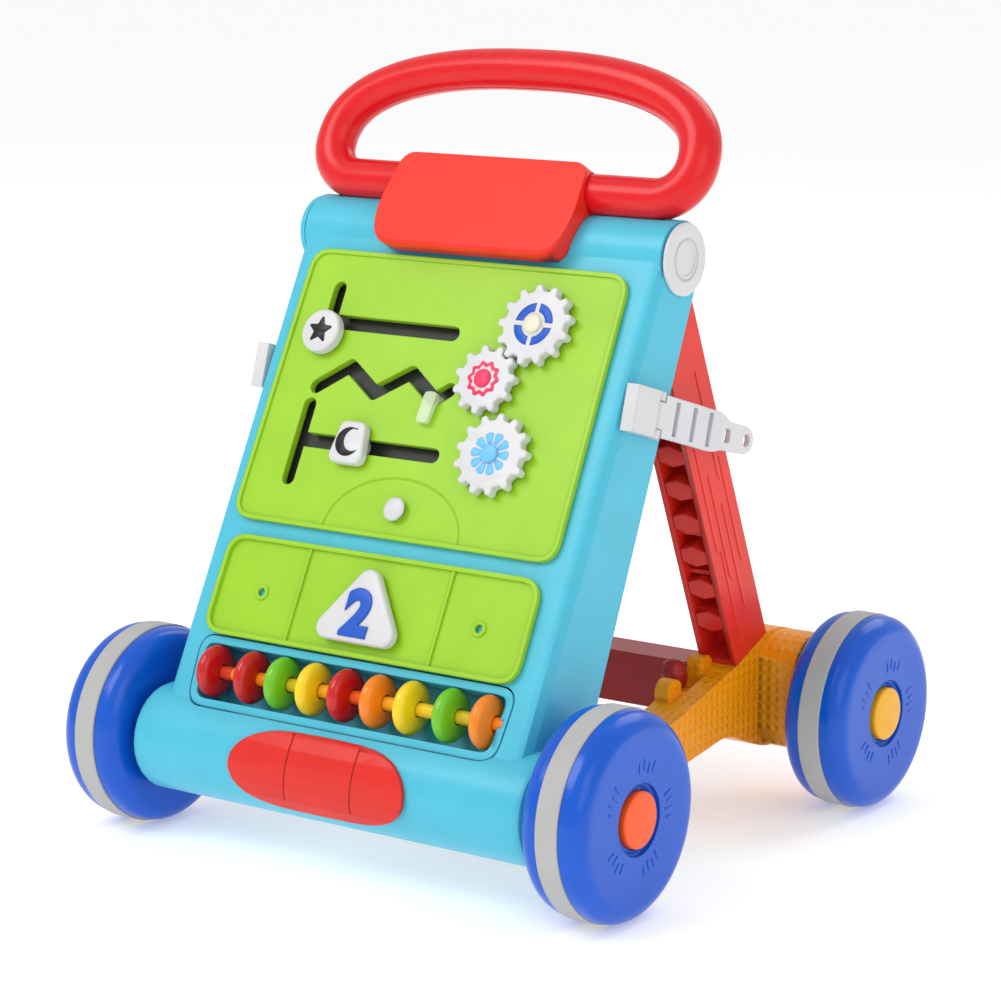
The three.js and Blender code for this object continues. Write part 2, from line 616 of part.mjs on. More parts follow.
const makeBeam = () => {
  const end = LEG.inner - GAP;
  const { front, back, low, high } = BEAM;
  const bar = box(-end, end, front, back, low, high);
  const trough = box(-end - 5, end + 5, front + 3.5, back - 3.5, low - 5, high - 3.5);
  const y = FRONT_Y + 183;
  const post = new THREE.LatheGeometry([[0, 0], [7.6, 0], [8, 8], [6.4, 13], [3.4, 15.6], [0, 16.4]]
    .map(([r, h]) => new THREE.Vector2(r, h)), 16).rotateX(Math.PI / 2).translate(end - 2.5, y, 78);
  const neck = box(end - 8, end, y, front + 2, 78.5, 84);
  const oneEnd = join(box(end - 4, end, front, back, low, high), solid(post), neck);
  return join(cut(bar, trough), oneEnd, mirrored(oneEnd));
};

// ---- put together ----
addPiece(panel, "front_shell", "turquoise", makeShell());
addPiece(panel, "rear_cover", "turquoise", makeRearCover());
addPiece(panel, "upper_board", "green", makeUpperBoard());
addPiece(panel, "slot_backing", "slotGrey", makeBacking());
addPiece(panel, "lower_board", "green", makeLowerBoard());
addPiece(panel, "bead_tray", "turquoise", makeTray());
addPiece(panel, "front_badge", "coral", makeBadge());
addPiece(panel, "bead_rod", "orange",
  rodX(ROD.radius, -TRAY.half + 4, TRAY.half - 4, ROD.y, ROD.z, 16));

const placed = (body, x, y, z) => body.translate([x, y, z]);

BEAD_X.forEach((x, i) => {
  const look = ["red", "red", "green", "yellow", "red", "orange", "yellow", "green", "orange"][i];
  addPiece(panel, `bead_${i + 1}`, look, placed(makeBead(), x, ROD.y, ROD.z));
});

for (const [name, { x, z }] of Object.entries(GEARS)) {
  addPiece(panel, name, "white", placed(makeGear(name), x, 0, z));
  addPiece(panel, name.replace("gear", "gear_pin"), "white", placed(makeGearPin(), x, 0, z));
}

const roundHead = plate(circleShape(0, 0, TOKEN_ROUND.radius), TOKEN_FRONT, GEAR_BACK, 1.2, 10);
addPiece(panel, "round_token", "white", placed(makeToken(roundHead), TOKEN_ROUND.x, 0, TOKEN_ROUND.z));
addPiece(panel, "square_token", "white", placed(makeToken(squareHead()), TOKEN_SQUARE.x, 0, TOKEN_SQUARE.z));
addPiece(panel, "round_token_clip", "white", placed(makeClip(), TOKEN_ROUND.x, 0, TOKEN_ROUND.z));
addPiece(panel, "square_token_clip", "white", placed(makeClip(), TOKEN_SQUARE.x, 0, TOKEN_SQUARE.z));
addPiece(panel, "clear_token", "clear", placed(makeToken(clearHead()), ZIGZAG[4][0], 0, ZIGZAG[4][1]));
addPiece(panel, "push_button", "white", placed(makeButton(), BUTTON.x, 0, BUTTON.z));
addPiece(panel, "number_tile", "white", placed(makeTile(), 0, 0, TILE.z));
addPiece(panel, "tile_pin", "steel", rodY(TILE_PIN, 0, TILE.z, -3.9, 7.5, 12));

addPiece(panel, "handle_loop", "red", makeHandle());
addPiece(panel, "handle_block", "coral", makeBlock());

const hingeCap = turnedX([[0, 125.4], [20.3, 125.4], [20.3, 126.8], [19.4, 127.6], [0, 127.6]],
  TOP_BARREL.y, TOP_BARREL.z, 24);
addPiece(panel, "hinge_cap_right", "white", hingeCap);
const blindCap = turnedX([[0, 125.4], [20.3, 125.4], [20.3, 128], [17.6, 131.4], [12, 133.4], [0, 134]],
  TOP_BARREL.y, TOP_BARREL.z, 24);
addPiece(panel, "hinge_cap_left", "turquoise", mirrored(blindCap));
addPiece(panel, "hinge_shaft", "steel", rodX(AXLE_RADIUS, -123.9, 123.9, TOP_BARREL.y, TOP_BARREL.z, 20));

const latchBlock = inLatch(makeLatchBlock());
const strap = inLatch(makeStrap());
addPiece(panel, "latch_block_right", "white", latchBlock);
addPiece(panel, "latch_block_left", "white", mirrored(latchBlock));
addPiece(panel, "latch_strap_right", "white", strap);
addPiece(panel, "latch_strap_left", "white", mirrored(strap));

const leg = new THREE.Group();
leg.position.set(0, HINGE.y, HINGE.z);
leg.rotation.x = legDirection;
walker.add(leg);
addPiece(leg, "leg_right", "red", makeLeg());
addPiece(leg, "leg_left", "red", mirrored(makeLeg()));

addPiece(walker, "foot_right", "orange", makeFoot());
addPiece(walker, "foot_left", "orange", mirrored(makeFoot()));
addPiece(walker, "cross_beam", "darkRed", makeBeam());
addPiece(walker, "front_axle", "steel", rodX(AXLE_RADIUS, -AXLE_HALF, AXLE_HALF, FRONT_Y, WHEEL_RADIUS, 20));
addPiece(walker, "rear_axle", "steel", rodX(AXLE_RADIUS, -AXLE_HALF, AXLE_HALF, REAR_Y, WHEEL_RADIUS, 20));

for (const [end, y, look] of [["front", FRONT_Y, "capOrange"], ["rear", REAR_Y, "yellow"]]) {
  for (const side of ["right", "left"]) {
    const put = (body) => placed(side === "right" ? body : mirrored(body), 0, y, WHEEL_RADIUS);
    addPiece(walker, `${end}_wheel_${side}`, "blue", put(makeRim()));
    addPiece(walker, `${end}_tyre_${side}`, "grey", put(makeBand()));
    addPiece(walker, `${end}_hub_cap_${side}`, look, put(makeHubCap()));
  }
}

export default walker;
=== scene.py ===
# A folding baby walker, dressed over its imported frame. Lengths are in millimetres in the play panel's own
# axes (x across, y into the panel, z up its slope) unless a comment says otherwise.
import json
import math

import bmesh
import bpy
from mathutils import Matrix, Vector

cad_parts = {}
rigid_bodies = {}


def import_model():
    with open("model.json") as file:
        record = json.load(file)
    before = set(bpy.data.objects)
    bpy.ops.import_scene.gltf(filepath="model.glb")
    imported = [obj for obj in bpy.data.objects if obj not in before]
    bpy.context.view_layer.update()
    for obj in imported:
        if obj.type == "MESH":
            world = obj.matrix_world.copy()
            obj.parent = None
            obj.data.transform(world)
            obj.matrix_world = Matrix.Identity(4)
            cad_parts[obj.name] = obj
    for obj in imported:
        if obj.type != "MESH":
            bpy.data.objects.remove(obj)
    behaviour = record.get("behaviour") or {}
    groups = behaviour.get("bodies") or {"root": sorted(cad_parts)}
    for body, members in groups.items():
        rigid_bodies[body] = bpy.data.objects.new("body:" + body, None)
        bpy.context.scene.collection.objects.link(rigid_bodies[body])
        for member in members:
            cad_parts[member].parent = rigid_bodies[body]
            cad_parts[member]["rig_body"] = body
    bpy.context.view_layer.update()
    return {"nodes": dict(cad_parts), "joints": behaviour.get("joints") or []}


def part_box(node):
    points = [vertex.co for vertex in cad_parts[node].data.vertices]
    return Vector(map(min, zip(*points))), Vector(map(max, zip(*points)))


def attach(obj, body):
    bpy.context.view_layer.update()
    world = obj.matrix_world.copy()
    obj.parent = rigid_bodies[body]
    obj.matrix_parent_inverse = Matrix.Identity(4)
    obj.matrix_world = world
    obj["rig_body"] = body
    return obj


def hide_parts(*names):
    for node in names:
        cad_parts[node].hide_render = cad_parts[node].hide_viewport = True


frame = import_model()


# ---- camera ------------------------------------------------------------------------------------------
# A long lens from the front right, a little above the handle's height. It stands well back, so the
# walker's upright edges look nearly parallel. Its place is in metres, in the world's axes.
CAMERA_PLACE = (1.0592, -1.4748, 0.5464)
CAMERA_LENS = 114.39
CAMERA_TURN = math.radians(35.8)
CAMERA_DIP = math.radians(11.2)
camera = bpy.data.objects.new("camera", bpy.data.cameras.new("camera"))
camera.data.lens = CAMERA_LENS
camera.data.sensor_width = 36
camera.location = CAMERA_PLACE
camera.rotation_euler = (math.pi / 2 - CAMERA_DIP, 0, CAMERA_TURN)
bpy.context.scene.collection.objects.link(camera)
bpy.context.scene.camera = camera
bpy.context.scene.view_settings.view_transform = "Standard"


# ---- floor and light ---------------------------------------------------------------------------------
# A pale seamless floor, a big soft lamp from the upper left, a broad fill from the right and
# a low one behind, in an even white room.
bpy.ops.mesh.primitive_plane_add(size=120)
floor = bpy.context.object
floor.name = "floor"
paper = bpy.data.materials.new("paper")
paper.use_nodes = True
paper_shader = paper.node_tree.nodes["Principled BSDF"]
paper_shader.inputs["Base Color"].default_value = (0.93, 0.93, 0.93, 1)
paper_shader.inputs["Roughness"].default_value = 0.9
paper_shader.inputs["Emission Color"].default_value = (1, 1, 1, 1)
paper_shader.inputs["Emission Strength"].default_value = 0.3
floor.data.materials.append(paper)


def lamp(name, place, target, size, power):
    light = bpy.data.objects.new(name, bpy.data.lights.new(name, "AREA"))
    light.data.size = size
    light.data.energy = power
    light.location = place
    light.rotation_euler = (Vector(target) - Vector(place)).to_track_quat("-Z", "Y").to_euler()
    bpy.context.scene.collection.objects.link(light)


lamp("key", (-0.9, -1.6, 2.1), (0, 0, 0.2), 1.4, 26)
lamp("fill", (2.2, -1.2, 1.3), (0, 0, 0.2), 1.6, 9)
lamp("back", (0.3, 1.9, 2.0), (0, 0, 0.2), 1.6, 16)
world = bpy.data.worlds.new("studio")
world.use_nodes = True
world.node_tree.nodes["Background"].inputs[0].default_value = (1, 1, 1, 1)
world.node_tree.nodes["Background"].inputs[1].default_value = 0.7
bpy.context.scene.world = world


# ---- front shell -------------------------------------------------------------------------------------
# One turquoise moulding: a leaning box between a thick bottom barrel and a slimmer top barrel.
# Its surface has a fine spark-eroded grain and softened edges. The bead tray is clipped into its face.
MM = 0.001
JOINT = {joint["name"]: joint for joint in frame["joints"]}
INTO = Vector(JOINT["gear_top_spin"]["axis"])
ACROSS = Vector((1, 0, 0))
UP_SLOPE = ACROSS.cross(INTO)
gear_place = Vector(JOINT["gear_top_spin"]["pos_m"])
PANEL_FOOT = gear_place - UP_SLOPE * (gear_place.z / UP_SLOPE.z) - ACROSS * gear_place.x


def axes_matrix(origin, x, y, z):
    """Millimetres along the given axes, from an origin in metres."""
    turn = Matrix((x, y, z)).transposed().to_4x4()
    return Matrix.Translation(origin) @ turn @ Matrix.Scale(MM, 4)


PANEL = axes_matrix(PANEL_FOOT, ACROSS, INTO, UP_SLOPE)
WORLD = Matrix.Scale(MM, 4)


def node_of(tree, kind, **inputs):
    node = tree.nodes.new(kind)
    for key, value in inputs.items():
        numbered = key[0] == "_" and key[1:].isdigit()
        socket = node.inputs[int(key[1:])] if numbered else node.inputs[key.replace("_", " ")]
        if isinstance(value, bpy.types.NodeSocket):
            tree.links.new(value, socket)
        else:
            socket.default_value = value
    return node


def maths(tree, operation, a, b=0.0):
    node = node_of(tree, "ShaderNodeMath", _0=a, _1=b)
    node.operation = operation
    return node.outputs[0]


def linear(colour):
    return tuple((c / 12.92 if c <= 0.04045 else ((c + 0.055) / 1.055) ** 2.4) for c in colour) + (1.0,)


def mixed(tree, factor, first, second):
    node = tree.nodes.new("ShaderNodeMix")
    node.data_type = "RGBA"
    for socket, value in ((node.inputs[0], factor), (node.inputs[6], first), (node.inputs[7], second)):
        if isinstance(value, bpy.types.NodeSocket):
            tree.links.new(value, socket)
        else:
            socket.default_value = value
    return node.outputs[2]


def plastic(name, slot, colour, rough=0.32, grain=0.05, edge=1.0, wear=0.08, coat=0.1,
            pattern=None, relief=None):
    """Moulded plastic; colour is sRGB 0..1.

    pattern(tree, place, colour) may recolour it, and relief(tree, place) adds height."""
    material = bpy.data.materials.new(name)
    material.use_nodes = True
    tree = material.node_tree
    shader = tree.nodes["Principled BSDF"]
    place = node_of(tree, "ShaderNodeTexCoord").outputs["Object"]
    base = linear(colour)
    cloud = node_of(tree, "ShaderNodeTexNoise", Vector=place, Scale=38.0, Detail=4.0).outputs[0]
    shade = tuple(c * 0.9 for c in base[:3]) + (1.0,)
    tint = mixed(tree, cloud, shade, tuple(min(1, c * 1.08 + 0.004) for c in base[:3]) + (1.0,))
    if pattern:
        tint = pattern(tree, place, tint)
    soft = node_of(tree, "ShaderNodeBevel", Radius=edge * MM)
    soft.samples = 6
    sharp = node_of(tree, "ShaderNodeNewGeometry").outputs["Normal"]
    facing = tree.nodes.new("ShaderNodeVectorMath")
    facing.operation = "DOT_PRODUCT"
    tree.links.new(soft.outputs[0], facing.inputs[0])
    tree.links.new(sharp, facing.inputs[1])
    rub = node_of(tree, "ShaderNodeTexNoise", Vector=place, Scale=160.0, Detail=3.0).outputs[0]
    edge_mask = node_of(tree, "ShaderNodeMapRange", Value=facing.outputs["Value"])
    edge_mask.inputs[1].default_value = 0.995
    edge_mask.inputs[2].default_value = 0.90
    worn = maths(tree, "MULTIPLY", maths(tree, "MULTIPLY", edge_mask.outputs[0], rub), wear)
    pale = tuple(min(1, c * 0.6 + 0.3) for c in base[:3]) + (1.0,)
    tree.links.new(mixed(tree, worn, tint, pale), shader.inputs["Base Color"])
    gloss = node_of(tree, "ShaderNodeTexNoise", Vector=place, Scale=22.0, Detail=5.0).outputs[0]
    roughness = maths(tree, "ADD", maths(tree, "MULTIPLY", gloss, 0.16), rough - 0.08)
    tree.links.new(roughness, shader.inputs["Roughness"])
    fine = node_of(tree, "ShaderNodeTexNoise", Vector=place, Scale=1500.0, Detail=2.0).outputs[0]
    flow = node_of(tree, "ShaderNodeTexNoise", Vector=place, Scale=14.0, Detail=1.0).outputs[0]
    height = maths(tree, "ADD", maths(tree, "MULTIPLY", fine, grain), maths(tree, "MULTIPLY", flow, 0.35))
    if relief:
        height = maths(tree, "ADD", height, relief(tree, place))
    bump = node_of(tree, "ShaderNodeBump", Height=height, Normal=soft.outputs[0], Strength=0.35,
                   Distance=MM)
    tree.links.new(bump.outputs[0], shader.inputs["Normal"])
    material["slot"] = slot
    shader.inputs["Coat Weight"].default_value = coat
    shader.inputs["Coat Roughness"].default_value = 0.12
    shader.inputs["IOR"].default_value = 1.5
    shader.inputs["Specular IOR Level"].default_value = 0.3
    shader.inputs["Subsurface Weight"].default_value = 0.03
    shader.inputs["Subsurface Radius"].default_value = (0.004, 0.003, 0.002)
    return material


def refined(node, material, crease=32):
    """A CAD node's own shape with its flat facets merged, its round stretches shaded round."""
    source = frame["nodes"][node]
    bm = bmesh.new()
    bm.from_mesh(source.data)
    bmesh.ops.remove_doubles(bm, verts=bm.verts, dist=1e-6)
    bmesh.ops.dissolve_limit(bm, angle_limit=math.radians(0.6), verts=bm.verts, edges=bm.edges)
    mesh = bpy.data.meshes.new(node + "_moulding")
    bm.to_mesh(mesh)
    bm.free()
    mesh.shade_smooth()
    mesh.set_sharp_from_angle(angle=math.radians(crease))
    mesh.materials.append(material)
    piece = bpy.data.objects.new(node + "_moulding", mesh)
    bpy.context.scene.collection.objects.link(piece)
    even = piece.modifiers.new("even shading", "WEIGHTED_NORMAL")
    even.keep_sharp = True
    graph = bpy.context.evaluated_depsgraph_get()
    smooth = bpy.data.meshes.new_from_object(piece.evaluated_get(graph), depsgraph=graph)
    piece.modifiers.clear()
    piece.data = smooth
    bpy.data.meshes.remove(mesh)
    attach(piece, source["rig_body"])
    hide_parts(node)
    return piece


TURQUOISE = plastic("turquoise_shell", "turquoise_plastic", (0.30, 0.74, 0.84), rough=0.34)

shell = refined("front_shell", TURQUOISE)
tray = refined("bead_tray", TURQUOISE)


# ---- rear cover --------------------------------------------------------------------------------------
# A flat turquoise sheet that closes the shell's open back. Six steel pan-head screws, in two rows,
# hold it to the shell.
def metal(name, slot, colour, rough):
    """Drawn steel rod: fine scratches along X."""
    material = bpy.data.materials.new(name)
    material.use_nodes = True
    tree = material.node_tree
    shader = tree.nodes["Principled BSDF"]
    place = node_of(tree, "ShaderNodeTexCoord").outputs["Object"]
    stretched = node_of(tree, "ShaderNodeMapping", Vector=place, Scale=(40, 1800, 1800)).outputs[0]
    streaks = node_of(tree, "ShaderNodeTexNoise", Vector=stretched, Scale=1.0, Detail=3.0).outputs[0]
    base = linear(colour)
    tint = mixed(tree, streaks, tuple(c * 0.8 for c in base[:3]) + (1.0,), base)
    tree.links.new(tint, shader.inputs["Base Color"])
    roughness = maths(tree, "ADD", maths(tree, "MULTIPLY", streaks, 0.2), rough - 0.1)
    tree.links.new(roughness, shader.inputs["Roughness"])
    bump = node_of(tree, "ShaderNodeBump", Height=streaks, Strength=0.15, Distance=0.0002)
    tree.links.new(bump.outputs[0], shader.inputs["Normal"])
    material["slot"] = slot
    shader.inputs["Metallic"].default_value = 1.0
    return material


def add_piece(name, bm, material, body, replaced=(), place=PANEL, crease=32):
    bmesh.ops.remove_doubles(bm, verts=bm.verts, dist=1e-4)
    bm.transform(place)
    bmesh.ops.recalc_face_normals(bm, faces=bm.faces)
    mesh = bpy.data.meshes.new(name)
    bm.to_mesh(mesh)
    bm.free()
    mesh.shade_smooth()
    mesh.set_sharp_from_angle(angle=math.radians(crease))
    mesh.materials.append(material)
    piece = bpy.data.objects.new(name, mesh)
    bpy.context.scene.collection.objects.link(piece)
    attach(piece, body)
    if replaced:
        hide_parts(*replaced)
    return piece


def skin(rings, closed=False):
    """Rings of equally many points, joined in order; a ring of one point closes to a tip."""
    bm = bmesh.new()
    loops = [[bm.verts.new(point) for point in ring] for ring in rings]
    pairs = list(zip(loops, loops[1:] + loops[:1])) if closed else list(zip(loops, loops[1:]))
    for low, high in pairs:
        count = max(len(low), len(high))
        for i in range(count):
            corners = [low[i % len(low)], low[(i + 1) % len(low)]]
            corners += [high[(i + 1) % len(high)], high[i % len(high)]]
            bm.faces.new(list(dict.fromkeys(corners)))
    if not closed:
        for loop in (loops[0], loops[-1]):
            if len(loop) > 2:
                bm.faces.new(loop)
    return bm


def lathe(profile, centre=(0, 0), segments=96, along="x"):
    """Turns (radius, distance) points about a line through centre.

    A profile off the axis closes on itself."""
    rings = []
    for radius, reach in profile:
        turns = [2 * math.pi * i / segments for i in range(segments)] if radius > 1e-6 else [0]
        ring = [(radius * math.cos(t), radius * math.sin(t)) for t in turns]
        if along == "x":
            rings.append([(reach, centre[0] + a, centre[1] + b) for a, b in ring])
        else:
            rings.append([(centre[0] + a, reach, centre[1] + b) for a, b in ring])
    return skin(rings, closed=profile[0][0] > 1e-6 and profile[-1][0] > 1e-6)


def repeated(name, shape, spots, material, body, place=PANEL):
    """Copies of one shape at (position, turn) spots, set out by geometry nodes and made one plain mesh."""
    shape_mesh = bpy.data.meshes.new(name + "_shape")
    bmesh.ops.recalc_face_normals(shape, faces=shape.faces)
    shape.to_mesh(shape_mesh)
    shape.free()
    shape_object = bpy.data.objects.new(name + "_shape", shape_mesh)
    bpy.context.scene.collection.objects.link(shape_object)
    host_mesh = bpy.data.meshes.new(name + "_spots")
    host_mesh.from_pydata([position for position, turn in spots], [], [])
    turns = host_mesh.attributes.new("turn", "FLOAT_VECTOR", "POINT")
    for item, (position, turn) in zip(turns.data, spots):
        item.vector = turn
    host = bpy.data.objects.new(name + "_spots", host_mesh)
    bpy.context.scene.collection.objects.link(host)
    group = bpy.data.node_groups.new("set out " + name, "GeometryNodeTree")
    group.interface.new_socket("Geometry", in_out="INPUT", socket_type="NodeSocketGeometry")
    wanted = group.interface.new_socket("Shape", in_out="INPUT", socket_type="NodeSocketObject")
    finish = group.interface.new_socket("Finish", in_out="INPUT", socket_type="NodeSocketMaterial")
    group.interface.new_socket("Geometry", in_out="OUTPUT", socket_type="NodeSocketGeometry")
    start = group.nodes.new("NodeGroupInput")
    info = group.nodes.new("GeometryNodeObjectInfo")
    facing = group.nodes.new("GeometryNodeInputNamedAttribute")
    facing.data_type = "FLOAT_VECTOR"
    facing.inputs["Name"].default_value = "turn"
    turned = group.nodes.new("FunctionNodeEulerToRotation")
    copies = group.nodes.new("GeometryNodeInstanceOnPoints")
    real = group.nodes.new("GeometryNodeRealizeInstances")
    painted = group.nodes.new("GeometryNodeSetMaterial")
    end = group.nodes.new("NodeGroupOutput")
    group.links.new(start.outputs["Geometry"], copies.inputs["Points"])
    group.links.new(start.outputs["Shape"], info.inputs["Object"])
    group.links.new(info.outputs["Geometry"], copies.inputs["Instance"])
    group.links.new(facing.outputs["Attribute"], turned.inputs["Euler"])
    group.links.new(turned.outputs["Rotation"], copies.inputs["Rotation"])
    group.links.new(copies.outputs["Instances"], real.inputs["Geometry"])
    group.links.new(real.outputs["Geometry"], painted.inputs["Geometry"])
    group.links.new(start.outputs["Finish"], painted.inputs["Material"])
    group.links.new(painted.outputs["Geometry"], end.inputs["Geometry"])
    setting = host.modifiers.new("set out", "NODES")
    setting.node_group = group
    setting[wanted.identifier] = shape_object
    setting[finish.identifier] = material
    graph = bpy.context.evaluated_depsgraph_get()
    made = bpy.data.meshes.new_from_object(host.evaluated_get(graph), depsgraph=graph)
    bpy.data.objects.remove(host)
    bpy.data.objects.remove(shape_object)
    copies_mesh = bmesh.new()
    copies_mesh.from_mesh(made)
    bpy.data.meshes.remove(made)
    return add_piece(name, copies_mesh, material, body, place=place)


STEEL = metal("axle_steel", "steel", (0.72, 0.73, 0.75), 0.32)
cover = refined("rear_cover", TURQUOISE)

screw_head = [(0, 30.2), (3.4, 30.2), (3.4, 31.3), (2.6, 32.1), (1.2, 32.1), (1.2, 31.5), (0, 31.5)]
screw = lathe(screw_head, segments=24, along="y")
screw_spots = [((x, 0, z), (0, 0, 0)) for x in (-108, 108) for z in (124, 240, 356)]
repeated("cover_screws", screw, screw_spots, STEEL, "front_frame")


# ---- boards and slot backing -------------------------------------------------------------------------
# Two lime boards with raised rims, snapped onto the shell. The upper one has slots for the tokens and a
# shallow arch round its button; the lower one has two ribs and two bosses. A dark sheet backs the slots.
def tube(points, radius, up, sides=24, closed=False):
    """A round bar along points that lie in a plane whose normal is up."""
    up = Vector(up).normalized()
    rings = []
    for i, point in enumerate(points):
        after = points[(i + 1) % len(points)] if closed else points[min(i + 1, len(points) - 1)]
        before = points[i - 1] if closed else points[max(i - 1, 0)]
        side = (Vector(after) - Vector(before)).normalized().cross(up)
        turns = [2 * math.pi * k / sides for k in range(sides)]
        rings.append([Vector(point) + (side * math.cos(t) + up * math.sin(t)) * radius for t in turns])
    return skin(rings, closed=closed)


def carve(piece, bm, crease=32):
    """Cuts a shape out of a finished piece."""
    bm.transform(PANEL)
    bmesh.ops.recalc_face_normals(bm, faces=bm.faces)
    mesh = bpy.data.meshes.new("cutter")
    bm.to_mesh(mesh)
    bm.free()
    cutter = bpy.data.objects.new("cutter", mesh)
    bpy.context.scene.collection.objects.link(cutter)
    boolean = piece.modifiers.new("carve", "BOOLEAN")
    boolean.object = cutter
    boolean.operation = "DIFFERENCE"
    boolean.solver = "EXACT"
    graph = bpy.context.evaluated_depsgraph_get()
    made = bpy.data.meshes.new_from_object(piece.evaluated_get(graph), depsgraph=graph)
    piece.modifiers.clear()
    old = piece.data
    piece.data = made
    bpy.data.meshes.remove(old)
    bpy.data.objects.remove(cutter)
    piece.data.shade_smooth()
    piece.data.set_sharp_from_angle(angle=math.radians(crease))


def painted(node, material):
    """Gives a CAD node that is shown as it is the finish it is made in."""
    node_data = frame["nodes"][node].data
    node_data.materials.clear()
    node_data.materials.append(material)


GREEN = plastic("green_board", "green_plastic", (0.60, 0.80, 0.12), rough=0.36)
SLOT_DARK = plastic("slot_floor", "dark_plastic", (0.20, 0.20, 0.19), rough=0.5)

upper = refined("upper_board", GREEN, crease=8)
arch = [(47 * math.cos(t), -0.1, 208 + 33 * math.sin(t)) for t in (math.pi * i / 40 for i in range(41))]
carve(upper, tube(arch, 0.7, (0, 1, 0), sides=8), crease=8)
lower = refined("lower_board", GREEN, crease=8)

painted("slot_backing", SLOT_DARK)


# ---- gears -------------------------------------------------------------------------------------------
# Three white toothed discs that turn on headed pins; the top two mesh. Each carries a flat printed flower
# and its pin's head is moulded in the colour of the flower's heart.
def inset(outline, depth):
    """The outline moved inwards, corner by corner."""
    area = sum(a[0] * b[1] - b[0] * a[1] for a, b in zip(outline, outline[1:] + outline[:1]))
    side = 1 if area > 0 else -1
    moved = []
    for i, point in enumerate(outline):
        before = (Vector(point) - Vector(outline[i - 1])).normalized()
        after = (Vector(outline[(i + 1) % len(outline)]) - Vector(point)).normalized()
        along = (before + after).normalized()
        normal = Vector((-along.y, along.x)) * side
        stretch = 1 / max(0.5, math.sqrt((1 + before.dot(after)) / 2))
        moved.append(tuple(Vector(point) + normal * depth * stretch))
    return moved


def slab(outline, front, back, ease=1.0, steps=5):
    """A plate from y = front to y = back whose front edge is rounded."""
    quarter = [math.pi / 2 * k / steps for k in range(steps + 1)]
    levels = [(ease * (1 - math.cos(t)), front + ease * (1 - math.sin(t))) for t in quarter]
    levels = [(0, back)] + levels
    rings = [[(x, y, z) for x, z in inset(outline, depth)] for depth, y in levels]
    return skin(rings)


WHITE = plastic("white_part", "white_plastic", (0.83, 0.83, 0.84), rough=0.3, wear=0.0)

PRINT_BLUE = plastic("print_blue", "blue_plastic", (0.05, 0.33, 0.75), rough=0.42, grain=0.02, wear=0.0)
PRINT_SKY = plastic("print_sky", "blue_plastic", (0.42, 0.75, 0.95), rough=0.42, grain=0.02, wear=0.0)
PRINT_ROSE = plastic("print_rose", "red_plastic", (0.93, 0.20, 0.38), rough=0.42, grain=0.02, wear=0.0)
PRINT_CREAM = plastic("print_cream", "white_plastic", (0.88, 0.87, 0.78), rough=0.42, grain=0.02, wear=0.0)
PRINT_BLACK = plastic("print_black", "dark_plastic", (0.06, 0.06, 0.06), rough=0.42, grain=0.02, wear=0.0)
GEAR_FRONT = -7.4
GEAR_BACK = -1.4
PRINT = 0.22


def panel_spot(joint):
    """x and z in the panel's axes of a joint's place."""
    place = Vector(JOINT[joint]["pos_m"]) - PANEL_FOOT
    return place.x / MM, place.dot(UP_SLOPE) / MM


def toothed(x, z, teeth, turn):
    """A gear outline with soft trapezoidal teeth; one tooth points along turn."""
    pitch = 3.41 * teeth / 2
    outline = []
    for i in range(teeth * 16):
        t = 2 * math.pi * i / (teeth * 16)
        wave = math.tanh(2.6 * (math.cos(t * teeth) - 0.22))
        radius = pitch - 0.45 + 1.95 * wave
        outline.append((x + radius * math.cos(t + turn), z + radius * math.sin(t + turn)))
    return outline


def petals(x, z, radius, swell, count, steps=160):
    turns = [2 * math.pi * i / steps for i in range(steps)]
    return [(x + (radius + swell * math.cos(count * t)) * math.cos(t),
             z + (radius + swell * math.cos(count * t)) * math.sin(t)) for t in turns]


def circle(x, z, radius, steps=48):
    return petals(x, z, radius, 0, 1, steps=steps)


def print_on(name, outline, material, body, face, layer=1):
    add_piece(name, slab(outline, face - PRINT * layer, face + 0.3, ease=0.08, steps=2), material, body)


gear_x, gear_z = panel_spot("gear_top_spin")
mid_x, mid_z = panel_spot("gear_middle_spin")
low_x, low_z = panel_spot("gear_bottom_spin")
mesh_line = math.atan2(mid_z - gear_z, mid_x - gear_x)
GEARS = {
    "gear_top": (gear_x, gear_z, 13, mesh_line),
    "gear_middle": (mid_x, mid_z, 11, mesh_line + math.pi + math.pi / 11),
    "gear_bottom": (low_x, low_z, 13, math.pi / 2),
}
for name, (x, z, teeth, turn) in GEARS.items():
    disc = slab(toothed(x, z, teeth, turn), GEAR_FRONT, GEAR_BACK, ease=0.9)
    piece = add_piece(name + "_disc", disc, WHITE, name, [name])

